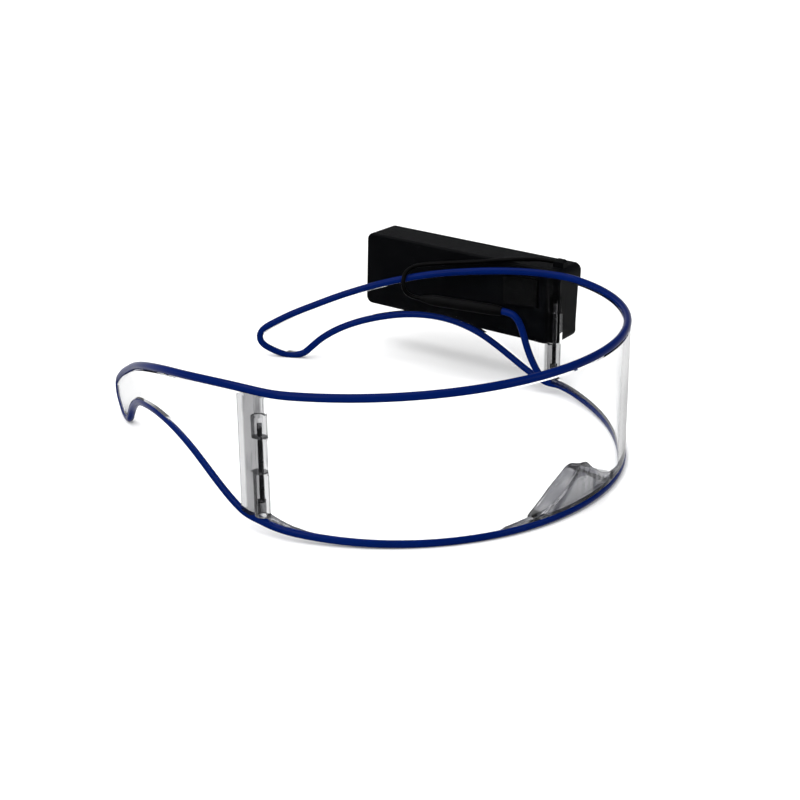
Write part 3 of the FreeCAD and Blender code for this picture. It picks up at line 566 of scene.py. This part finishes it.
pack = {"height": 26.3, "yaw": 3.4, "pitch": 2.2, "front": 0.7, "drop": 12.85, "innerX": 74.9926}
packLead = {"radius": 0.75, "hoodW": 6.2, "hoodStart": 3.6, "hoodHigh": 1.3, "straight": 6.8,
            "slant": 11.5, "slantEnd": 16.2, "above": 1.05, "intoSleeve": 4.3, "length": 0.0702}
packLeadShares = [
    (0.2991, 0.0289, 0.0020), (0.3730, 0.0229, 0.0240), (0.4350, 0.0209, 0.0450),
    (0.4840, 0.0199, 0.0610), (0.5280, 0.0160, 0.0800), (0.5610, -0.0090, 0.1280),
    (0.5630, -0.0349, 0.2546),
]
sleeve = {"radius": 2.0, "rear": 49.8, "front": 19.7, "rearDrop": 13.3, "frontDrop": 14.6,
          "gap": 0.3}
wireLead = {"radius": 1.2, "straight": 4.0, "length": 0.03}
wireLeadShares = [
    (0.1256, -0.0299, 0.4509), (0.1087, -0.0279, 0.5544), (0.0947, -0.0289, 0.6684),
    (0.0738, -0.0319, 0.7798), (0.0499, -0.0319, 0.8833), (0.0319, -0.0299, 0.9450),
]

packTurn = (Matrix.Rotation(math.radians(pack["yaw"]), 3, "Z")
            @ Matrix.Rotation(math.radians(pack["pitch"]), 3, "X"))


def onPack(u, v, w):
    corner = spot(pack["innerX"], pack["front"], -pack["drop"])
    return corner + packTurn @ Vector((mm(w), mm(u), mm(v)))


def leadCurve(name, points, radius):
    clearSelection()
    bpy.ops.curve.primitive_nurbs_curve_add()
    lead = bpy.context.object
    lead.name = name
    lead.location = (0, 0, 0)
    lead.data.splines.clear()
    spline = lead.data.splines.new("NURBS")
    spline.points.add(len(points) - 1)
    for point, place in zip(spline.points, points):
        point.co = (*place, 1)
    spline.order_u = 3
    spline.use_endpoint_u = True
    spline.resolution_u = 12
    lead.data.bevel_depth = radius
    lead.data.bevel_resolution = 8
    lead.data.use_fill_caps = True
    return lead


sleeveOut = -(temple["halfPlate"] + sleeve["radius"] + sleeve["gap"]) / temple["length"]
sleeveRear, sleeveFront = [
    besideTemple(sleeve[end] / temple["length"], sleeveOut, sleeve[end + "Drop"] / hinge["height"])
    for end in ("rear", "front")]
sleeveWay = (sleeveFront - sleeveRear).normalized()


def makePackLead():
    half = pack["height"] / 2
    start = packLead["hoodStart"]
    points = [onPack(start, half + packLead["hoodHigh"], packLead["hoodW"]),
              onPack(start + packLead["straight"], half + packLead["hoodHigh"], packLead["hoodW"]),
              onPack(start + packLead["slant"], half + packLead["above"], packLead["hoodW"] / 2),
              onPack(start + packLead["slantEnd"], half + packLead["above"], -packLead["radius"])]
    points += [besideTemple(*share) for share in packLeadShares]
    points += [sleeveRear - sleeveWay * mm(packLead["intoSleeve"]), sleeveRear]
    lead = leadCurve("packLead", points, mm(packLead["radius"]))
    settle(lead, blackLead, "left_temple", ("pack_lead",))


def makeWireLead():
    points = [sleeveFront, sleeveFront + sleeveWay * mm(wireLead["straight"])]
    points += [besideTemple(*share) for share in wireLeadShares]
    lead = leadCurve("wireLead", points, mm(wireLead["radius"]))
    settle(lead, blueWire, "left_temple", ("el_wire_lead",))


makePackLead()
makeWireLead()
print("leads laid")


# glowing wire: one run round every edge, cut on both sides of each hinge; angles are round the
# shield, and halfway is the height between its upper and lower wire in the part's own frame

edgeWire = {"radius": 1.2, "frontAngles": [68.3, 44, 22, 0, -22, -44, -68.3, -78],
            "leftTop": 78, "leftBottom": 84, "rightBottom": -90,
            "underHinge": (70.6, 0.4, -37.55), "underWay": (0.3, -0.93, -0.18),
            "templeStart": (0, 0, -2.0), "tailEnd": (0.048, -0.982, -165.0),
            "halfway": 12, "cutSlack": 0.1}


def wireStations():
    leadEnd = besideTemple(*wireLeadShares[-1])
    leadWay = (leadEnd - besideTemple(*wireLeadShares[-2])).normalized()
    stations = [(leadEnd, leadWay)]
    stations.append((spot(*edgeWire["underHinge"]), Vector(edgeWire["underWay"]).normalized()))
    angles = edgeWire["frontAngles"]
    lowerAngles = [edgeWire["leftBottom"]] + angles + [edgeWire["rightBottom"]]
    upperAngles = reversed([edgeWire["leftTop"]] + angles)
    stations += [shieldSpot(angle, "bottom", -1) for angle in lowerAngles]
    stations += [templeSpot(-1, *share, -1) for share in reversed(templeShares)]
    stations.append(templeSpot(-1, *edgeWire["templeStart"], -1))
    stations += [shieldSpot(angle, "top") for angle in upperAngles]
    stations.append(templeSpot(1, *edgeWire["templeStart"]))
    stations += [templeSpot(1, *share) for share in templeShares]
    stations.append(templeSpot(1, *edgeWire["tailEnd"]))
    return stations


def wireCurve(name, stations, radius):
    clearSelection()
    bpy.ops.curve.primitive_bezier_curve_add()
    curve = bpy.context.object
    curve.name = name
    curve.location = (0, 0, 0)
    points = curve.data.splines[0].bezier_points
    points.add(len(stations) - len(points))
    endHandle = mm(1)

    def reach(first, second):
        # the handle length that turns a chord into an even arc
        chord = (second[0] - first[0]).length
        return chord / (3 * math.cos(first[1].angle(second[1]) / 4) ** 2)

    for index, (point, (place, way)) in enumerate(zip(points, stations)):
        point.handle_left_type = point.handle_right_type = "FREE"
        point.co = place
        isLast = index + 1 == len(stations)
        before = reach(stations[index - 1], stations[index]) if index else endHandle
        after = endHandle if isLast else reach(stations[index], stations[index + 1])
        point.handle_left = place - way * before
        point.handle_right = place + way * after
    curve.data.resolution_u = 10
    curve.data.bevel_depth = radius
    curve.data.bevel_resolution = 10
    return curve


def makeEdgeWire():
    wire = toMesh(wireCurve("edgeWire", wireStations(), mm(edgeWire["radius"])), "edgeWire")
    front = hingeLine - mm(hinge["reach"])
    rear = hingeLine + mm(hinge["reach"])
    slack = mm(edgeWire["cutSlack"])
    bpy.ops.object.mode_set(mode="EDIT")
    for y in (front, rear):
        bpy.ops.mesh.select_all(action="SELECT")
        bpy.ops.mesh.bisect(plane_co=(0, y, 0), plane_no=(0, 1, 0))
    selectFaces(wire, lambda centre: front < centre.y < rear)
    bpy.ops.mesh.separate(type="SELECTED")
    bpy.ops.object.mode_set(mode="OBJECT")
    crossings = [piece for piece in bpy.context.selected_objects if piece != wire][0]
    parts = []
    for whole in (wire, crossings):
        pick(whole)
        bpy.ops.mesh.separate(type="LOOSE")
        parts += list(bpy.context.selected_objects)
    for part in parts:
        closeEnds(part)
        smooth(part, 60)
        low = Vector(map(min, *[vertex.co for vertex in part.data.vertices]))
        high = Vector(map(max, *[vertex.co for vertex in part.data.vertices]))
        middle = (low + high) / 2
        side = "left" if middle.x > 0 else "right"
        level = "top" if middle.z > mm(edgeWire["halfway"]) else "bottom"
        dress(part, blueWire)
        if high.y < front + slack:
            part.name = "frontWire_" + level
            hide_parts("el_wire_front_" + level)
            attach(part, "front")
        elif low.y > rear - slack:
            part.name = "templeWire_" + side
            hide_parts("el_wire_temple_" + side)
            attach(part, side + "_temple")
        else:
            part.name = "hingeWire_" + side + "_" + level
            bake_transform(part)
        print(part.name, len(part.data.polygons), "faces")


makeEdgeWire()

# nose saddle: a bell-mouthed arch in rings from the shield backwards, each with its place in Y and
# half its outline in X and Z; a thin skirt along the shield's inner face closes its mouth

saddle = {
    "floor": -40.8, "hollowDrop": 2, "skirt": 0.8, "faceRadius": 74.356, "faceCentre": 17.51,
    "faceGap": 0.01, "cutterHeight": 60, "cutterLift": 20, "weld": 0.005, "grid": 0.22,
    "smoothing": 12,
    "outside": [
        (-58.6, [(0, -28.9), (5.0, -31.9), (10.0, -35.1), (15.0, -37.8), (20.6, -39.9)]),
        (-56.7, [(0, -29.4), (5.0, -32.4), (10.0, -35.5), (15.0, -38.0), (20.6, -40.0)]),
        (-55.6, [(0, -30.0), (5.0, -32.9), (9.9, -35.6), (15.0, -38.0), (20.6, -40.0)]),
        (-53.8, [(0, -30.7), (5.0, -32.9), (9.8, -35.3), (14.9, -37.7), (20.6, -40.0)]),
        (-51.65, [(0, -31.2), (5.0, -32.8), (9.8, -34.8), (14.8, -37.3), (20.6, -39.9)]),
    ],
    "inside": [
        (-56.3, [(0, -31.7), (3.7, -34.2), (7.6, -37.0), (11.4, -39.2), (15.2, -41.2)]),
        (-55.2, [(0, -32.0), (3.8, -34.4), (7.8, -37.0), (11.8, -39.2), (15.8, -41.2)]),
        (-53.8, [(0, -32.3), (4.0, -34.4), (8.2, -36.8), (12.3, -39.1), (16.6, -41.2)]),
        (-50.6, [(0, -32.7), (4.2, -34.3), (8.6, -36.4), (13.0, -38.9), (17.5, -41.2)]),
    ],
}


def saddleRing(depth, places, floor):
    clearSelection()
    bpy.ops.curve.primitive_bezier_curve_add()
    curve = bpy.context.object
    curve.location = (0, 0, 0)
    spline = curve.data.splines[0]
    points = spline.bezier_points
    outline = [(-x, z) for x, z in reversed(places[1:])] + places
    outline = [(-places[-1][0], floor)] + outline + [(places[-1][0], floor)]
    points.add(len(outline) - len(points))
    for index, (point, (x, z)) in enumerate(zip(points, outline)):
        point.co = spot(x, depth, z)
        corner = index in (0, 1, len(outline) - 2, len(outline) - 1)
        point.handle_left_type = point.handle_right_type = "VECTOR" if corner else "AUTO"
    spline.use_cyclic_u = True
    curve.data.resolution_u = 8
    return toMesh(curve, "saddleRing")


def saddleBody(name, rings, floor):
    loops = [saddleRing(depth, places, floor) for depth, places in rings]
    clearSelection()
    for loop in loops:
        loop.select_set(True)
    bpy.context.view_layer.objects.active = loops[0]
    bpy.ops.object.join()
    body = bpy.context.object
    body.name = name
    bpy.ops.object.mode_set(mode="EDIT")
    bpy.ops.mesh.select_all(action="SELECT")
    bpy.ops.mesh.bridge_edge_loops(number_cuts=3, interpolation="SURFACE")
    bpy.ops.mesh.select_all(action="SELECT")
    bpy.ops.mesh.remove_doubles(threshold=mm(saddle["weld"]))
    bpy.ops.object.mode_set(mode="OBJECT")
    closeEnds(body)
    return body


def keepBehindFace(piece, gap):
    # the shield's inner face is a cylinder at the nose
    clearSelection()
    bpy.ops.mesh.primitive_cylinder_add(
        vertices=720, radius=mm(saddle["faceRadius"] - gap), depth=mm(saddle["cutterHeight"]),
        location=spot(0, saddle["faceCentre"], saddle["floor"] + saddle["cutterLift"]))
    inside = bpy.context.object
    freeze(inside)
    useModifier(piece, "BOOLEAN", object=inside, operation="INTERSECT", solver="EXACT")
    bpy.data.objects.remove(inside)


def makeSaddle():
    bell = saddleBody("noseSaddle", saddle["outside"], saddle["floor"])
    hollow = saddleBody("saddleHollow", saddle["inside"], saddle["floor"] - saddle["hollowDrop"])
    keepBehindFace(hollow, saddle["skirt"])
    useModifier(bell, "BOOLEAN", object=hollow, operation="DIFFERENCE", solver="EXACT")
    bpy.data.objects.remove(hollow)
    keepBehindFace(bell, saddle["faceGap"])
    # soft plastic has no sharp edges: an even fine mesh, smoothed
    useModifier(bell, "REMESH", mode="VOXEL", voxel_size=mm(saddle["grid"]))
    useModifier(bell, "SMOOTH", factor=0.5, iterations=saddle["smoothing"])
    smooth(bell, 80)
    settle(bell, clearSoft, "front", ("nose_saddle",))
    print("noseSaddle", len(bell.data.polygons), "faces")


makeSaddle()

# glue runs along the inside of the lower edge, from angle to angle round the shield: thick at the
# saddle's and the hinges' feet and thin at their ends

glueRuns = {"saddleLeft": (14.5, 26), "saddleRight": (-14.5, -27), "hingeLeft": (88, 61),
            "hingeRight": (-88, -61)}
glue = {"radius": 1.05, "above": 0.9, "lift": 0.5, "inwards": 1.15, "inset": 0.25, "sinking": 0.75,
        "thinning": 0.88, "steps": 7}


def makeGlue(name, first, last):
    stations = []
    for step in range(glue["steps"]):
        share = step / (glue["steps"] - 1)
        angle = first + (last - first) * share
        place, way = shieldSpot(angle, "bottom", math.copysign(1, last - first))
        out = Vector((math.sin(math.radians(angle)), -math.cos(math.radians(angle)), 0))
        thin = 1 - glue["sinking"] * share
        lift = Vector((0, 0, mm(glue["above"] * thin + glue["lift"])))
        stations.append((place - out * mm(glue["inwards"] * thin + glue["inset"]) + lift, way))
    curve = wireCurve("glueRun_" + name, stations, mm(glue["radius"]))
    for step, point in enumerate(curve.data.splines[0].bezier_points):
        point.radius = 1 - glue["thinning"] * step / (glue["steps"] - 1)
    curve.data.resolution_u = 6
    run = toMesh(curve, "glueRun_" + name)
    closeEnds(run)
    smooth(run, 60)
    settle(run, clearSoft, "front")


for name, (first, last) in glueRuns.items():
    makeGlue(name, first, last)
print("glue runs made")

# hinge pins, the leads' sleeve, the foam pad and the cell springs

pinRings = [(0, 0.5), (0.08, 0.8), (0.24, 1.02), (0.45, 1.1), (0.68, 1.08), (0.78, 0.98),
            (0.8, 0.65), (1.4, 0.63), (21.5, 0.63), (21.85, 0.57), (22.0, 0.42), (22.08, 0.2)]
sleeveRings = [(0, 0.9), (0.12, 1.12), (1.4, 1.2), (2.8, 1.6), (4.6, 1.93), (7.5, 2.0), (12, 1.88),
               (16, 1.97), (20, 1.86), (24, 1.98), (27, 1.9), (28.7, 1.7), (29.6, 1.62),
               (29.95, 1.5), (30.05, 1.3)]


def inMetres(rings):
    return [(mm(along), mm(radius)) for along, radius in rings]


def makePins():
    low = -hinge["pinBottom"] * hinge["height"] - hinge["headLength"]
    for side, name in ((1, "left"), (-1, "right")):
        foot = spot(side * shield["halfSpan"], 0, low)
        pin = turnedPiece("hingePin_" + name, foot, Vector((0, 0, 1)), inMetres(pinRings), steps=32)
        smooth(pin, 50)
        settle(pin, pinSteel, "front", ("hinge_pin_" + name,))


def makeSleeve():
    tube = turnedPiece("leadSleeve", sleeveRear, sleeveWay, inMetres(sleeveRings))
    useModifier(tube, "SUBSURF", levels=1, render_levels=1)
    smooth(tube, 50)
    settle(tube, blackSleeve, "left_temple", ("lead_sleeve",))


# the pad starts as a block from innerX outwards
foamPad = {"rear": 21.0, "front": 8.0, "low": -13.2, "high": -3.2, "innerX": 72, "thickness": 4,
           "cuts": 11, "crown": 0.12, "rim": 0.99, "bevel": 0.25}


def makeFoamPad():
    length = foamPad["rear"] - foamPad["front"]
    height = foamPad["high"] - foamPad["low"]
    middleX = foamPad["innerX"] + foamPad["thickness"] / 2
    middleY = (foamPad["front"] + foamPad["rear"]) / 2
    middleZ = (foamPad["low"] + foamPad["high"]) / 2
    clearSelection()
    bpy.ops.mesh.primitive_cube_add(size=1, location=spot(middleX, middleY, middleZ))
    pad = bpy.context.object
    pad.name = "foamPad"
    pad.dimensions = (mm(foamPad["thickness"]), mm(length), mm(height))
    freeze(pad)
    bpy.ops.object.mode_set(mode="EDIT")
    bpy.ops.mesh.select_all(action="SELECT")
    bpy.ops.mesh.subdivide(number_cuts=foamPad["cuts"])
    bpy.ops.object.mode_set(mode="OBJECT")
    # each point is set between the temple's outer arc and the pack's inner face, and the sides are
    # pinched towards both faces
    outerArc = temple["bendRadius"] + temple["halfPlate"]
    packSlope = math.tan(math.radians(pack["yaw"]))
    for vertex in pad.data.vertices:
        place = vertex.co * 1000 - hingeToBridge
        share = (place.x - foamPad["innerX"]) / foamPad["thickness"]
        along = 2 * (place.y - middleY) / length
        across = 2 * (place.z - middleZ) / height
        inner = shield["halfSpan"] - temple["bendRadius"] + math.sqrt(outerArc ** 2 - place.y ** 2)
        outer = pack["innerX"] - (place.y - pack["front"]) * packSlope
        pinch = foamPad["crown"] * (2 * share - 1) ** 2
        place.x = inner + (outer - inner) * share
        if abs(along) > foamPad["rim"]:
            place.y -= math.copysign(pinch, along)
        if abs(across) > foamPad["rim"]:
            place.z -= math.copysign(pinch, across)
        vertex.co = (place + hingeToBridge) / 1000
    useModifier(pad, "BEVEL", width=mm(foamPad["bevel"]), segments=2, limit_method="ANGLE",
                angle_limit=math.radians(60))
    smooth(pad, 60)
    settle(pad, foamTape, "left_temple", ("mounting_pad",))


coil = {"turns": 3, "coilRadius": 2.85, "wireRadius": 0.3, "length": 3.1, "taper": -0.34,
        "cellW": 7.05, "cellV": 5.35, "lowerBase": 30.42, "upperBase": 78.08}


def makeSpring(level, base, side):
    clearSelection()
    bpy.ops.mesh.primitive_circle_add(vertices=12, radius=mm(coil["wireRadius"]),
                                      location=(mm(coil["coilRadius"]), 0, mm(coil["wireRadius"])),
                                      rotation=(math.pi / 2, 0, 0))
    spring = bpy.context.object
    spring.name = "cellSpring_" + level
    freeze(spring)
    pitch = (coil["length"] - 2 * coil["wireRadius"]) / coil["turns"]
    useModifier(spring, "SCREW", axis="Z", angle=2 * math.pi, screw_offset=mm(pitch),
                iterations=coil["turns"], steps=28, render_steps=28)
    useModifier(spring, "SIMPLE_DEFORM", deform_method="TAPER", deform_axis="Z",
                factor=coil["taper"])
    closeEnds(spring)
    way = packTurn @ Vector((0, -side, 0))
    spring.rotation_euler = way.to_track_quat("Z", "Y").to_euler()
    spring.location = onPack(base, side * coil["cellV"], coil["cellW"])
    freeze(spring)
    smooth(spring, 60)
    settle(spring, contactMetal, "left_temple", ("contact_spring_" + level,))


makePins()
makeSleeve()
makeFoamPad()
makeSpring("upper", coil["upperBase"], 1)
makeSpring("lower", coil["lowerBase"], -1)
print("pins, sleeve, pad and springs made")

# clear plates, pack and small parts keep their solids and get their finishes

finishes = [
    (clearPlastic, ["front_shield", "temple_right"]),
    (clearLeftTemple, ["temple_left"]),
    (blackCase, ["pack_case", "pack_lid", "battery_door"]),
    (buttonPlastic, ["push_button"]),
    (screwSteel, ["case_screw_front", "case_screw_rear"]),
    (cellCan, ["cell_upper", "cell_lower"]),
    (contactMetal, ["contact_plate_upper", "contact_plate_lower", "contact_bridge"]),
    (boardGreen, ["circuit_board"]),
    (transformerWrap, ["transformer"]),
    (capacitorSleeve, ["capacitor"]),
    (switchPlastic, ["switch_body"]),
]
for material, names in finishes:
    for name in names:
        dress(nodes[name], material)
print("nodes dressed")

# table and studio light

studio = {"floorSize": 8.0, "floorGap": 0.02, "lean": 2.0, "floorTone": (0.95, 0.95, 0.95),
          "skyEnd": 0.3, "skyTone": (0.16, 0.16, 0.17, 1), "farWay": (0.88, 0.47, 0),
          "nearEnd": 0.15, "nearTone": (0.02, 0.02, 0.022, 1), "farStart": 0.45,
          "farTone": (0.95, 0.95, 0.95, 1), "fill": 0.72, "backdrop": 1.2, "strength": 0.85}


def turnedRays(tree, rays):
    # one for a ray that a shiny face has turned
    turned = addNode(tree, "ShaderNodeMath", operation="GREATER_THAN")
    turned.inputs[1].default_value = 0.5
    tree.links.new(rays.outputs["Glossy Depth"], turned.inputs[0])
    return turned.outputs["Value"]


def makeTable():
    clearSelection()
    height = cadBox[0].z - mm(studio["floorGap"])
    bpy.ops.mesh.primitive_plane_add(size=studio["floorSize"], location=(0, 0, height))
    floor = bpy.context.object
    floor.name = "floor"
    floor.rotation_euler = (math.radians(studio["lean"]), 0, 0)
    material = grainMaterial(
        "paleTable", tone=studio["floorTone"], second=studio["floorTone"], grain=200, patches=3,
        relief=0.02, gloss=0.6, dullness=0.7)
    # a ray that a shiny face has turned passes the table and meets the surroundings
    tree = material.node_tree
    rays = addNode(tree, "ShaderNodeLightPath")
    through = addNode(tree, "ShaderNodeBsdfTransparent")
    mixSurface(tree, turnedRays(tree, rays), tree.nodes["Principled BSDF"], through)
    dress(floor, material)


def makeWorld():
    world = bpy.context.scene.world or bpy.data.worlds.new("studio")
    bpy.context.scene.world = world
    world.use_nodes = True
    tree = world.node_tree
    sky = tree.nodes["Background"]
    place = addNode(tree, "ShaderNodeTexCoord")
    split = addNode(tree, "ShaderNodeSeparateXYZ")
    above = addNode(tree, "ShaderNodeValToRGB")
    above.color_ramp.elements[0].color = (1, 1, 1, 1)
    above.color_ramp.elements[1].position = studio["skyEnd"]
    above.color_ramp.elements[1].color = studio["skyTone"]
    # below the horizon it is dark on the near side and pale beyond the glasses
    far = addNode(tree, "ShaderNodeVectorMath", operation="DOT_PRODUCT")
    far.inputs[1].default_value = studio["farWay"]
    below = addNode(tree, "ShaderNodeValToRGB")
    below.color_ramp.elements[0].position = studio["nearEnd"]
    below.color_ramp.elements[0].color = studio["nearTone"]
    below.color_ramp.elements[1].position = studio["farStart"]
    below.color_ramp.elements[1].color = studio["farTone"]
    side = addNode(tree, "ShaderNodeMath", operation="GREATER_THAN")
    side.inputs[1].default_value = 0.0
    both = addNode(tree, "ShaderNodeMix", data_type="RGBA")
    tree.links.new(place.outputs["Generated"], split.inputs["Vector"])
    tree.links.new(place.outputs["Generated"], far.inputs[0])
    tree.links.new(split.outputs["Z"], above.inputs["Fac"])
    tree.links.new(split.outputs["Z"], side.inputs[0])
    tree.links.new(far.outputs["Value"], below.inputs["Fac"])
    tree.links.new(side.outputs["Value"], both.inputs["Factor"])
    tree.links.new(below.outputs["Color"], both.inputs["A"])
    tree.links.new(above.outputs["Color"], both.inputs["B"])
    # only shiny faces show those surroundings: the backdrop is white, and matt things are lit
    # evenly from all round
    rays = addNode(tree, "ShaderNodeLightPath")
    plain = addNode(tree, "ShaderNodeMix", data_type="RGBA")
    plain.inputs["A"].default_value = (studio["backdrop"], studio["backdrop"], studio["backdrop"], 1)
    plain.inputs["B"].default_value = (studio["fill"], studio["fill"], studio["fill"], 1)
    lit = addNode(tree, "ShaderNodeMix", data_type="RGBA")
    tree.links.new(rays.outputs["Is Diffuse Ray"], plain.inputs["Factor"])
    tree.links.new(turnedRays(tree, rays), lit.inputs["Factor"])
    tree.links.new(plain.outputs["Result"], lit.inputs["A"])
    tree.links.new(both.outputs["Result"], lit.inputs["B"])
    tree.links.new(lit.outputs["Result"], sky.inputs["Color"])
    sky.inputs["Strength"].default_value = studio["strength"]


lamps = {
    "leftSoftbox": {"place": (-0.8, 0.1, 0.55), "size": 0.5, "power": 3.0},
    "frontSoftbox": {"place": (0.3, -0.9, 0.45), "size": 0.5, "power": 2.0},
}
overhead = {"place": (-0.25, 0.35, 1.0), "power": 2.5, "softness": 80}
lampTarget = spot(0, 0, -18)


def turnToTarget(place):
    return (Vector(place) - lampTarget).to_track_quat("Z", "Y").to_euler()


def makeLamps():
    clearSelection()
    bpy.ops.object.light_add(type="SUN", location=overhead["place"])
    sun = bpy.context.object
    sun.name = "overheadLight"
    sun.data.energy = overhead["power"]
    sun.data.angle = math.radians(overhead["softness"])
    sun.rotation_euler = turnToTarget(overhead["place"])
    for name, lamp in lamps.items():
        clearSelection()
        bpy.ops.object.light_add(type="AREA", location=lamp["place"])
        light = bpy.context.object
        light.name = name
        light.data.shape = "SQUARE"
        light.data.size = lamp["size"]
        light.data.energy = lamp["power"]
        light.rotation_euler = turnToTarget(lamp["place"])


makeTable()
makeWorld()
makeLamps()
bpy.context.scene.view_settings.view_transform = "Standard"
print("stage lit")
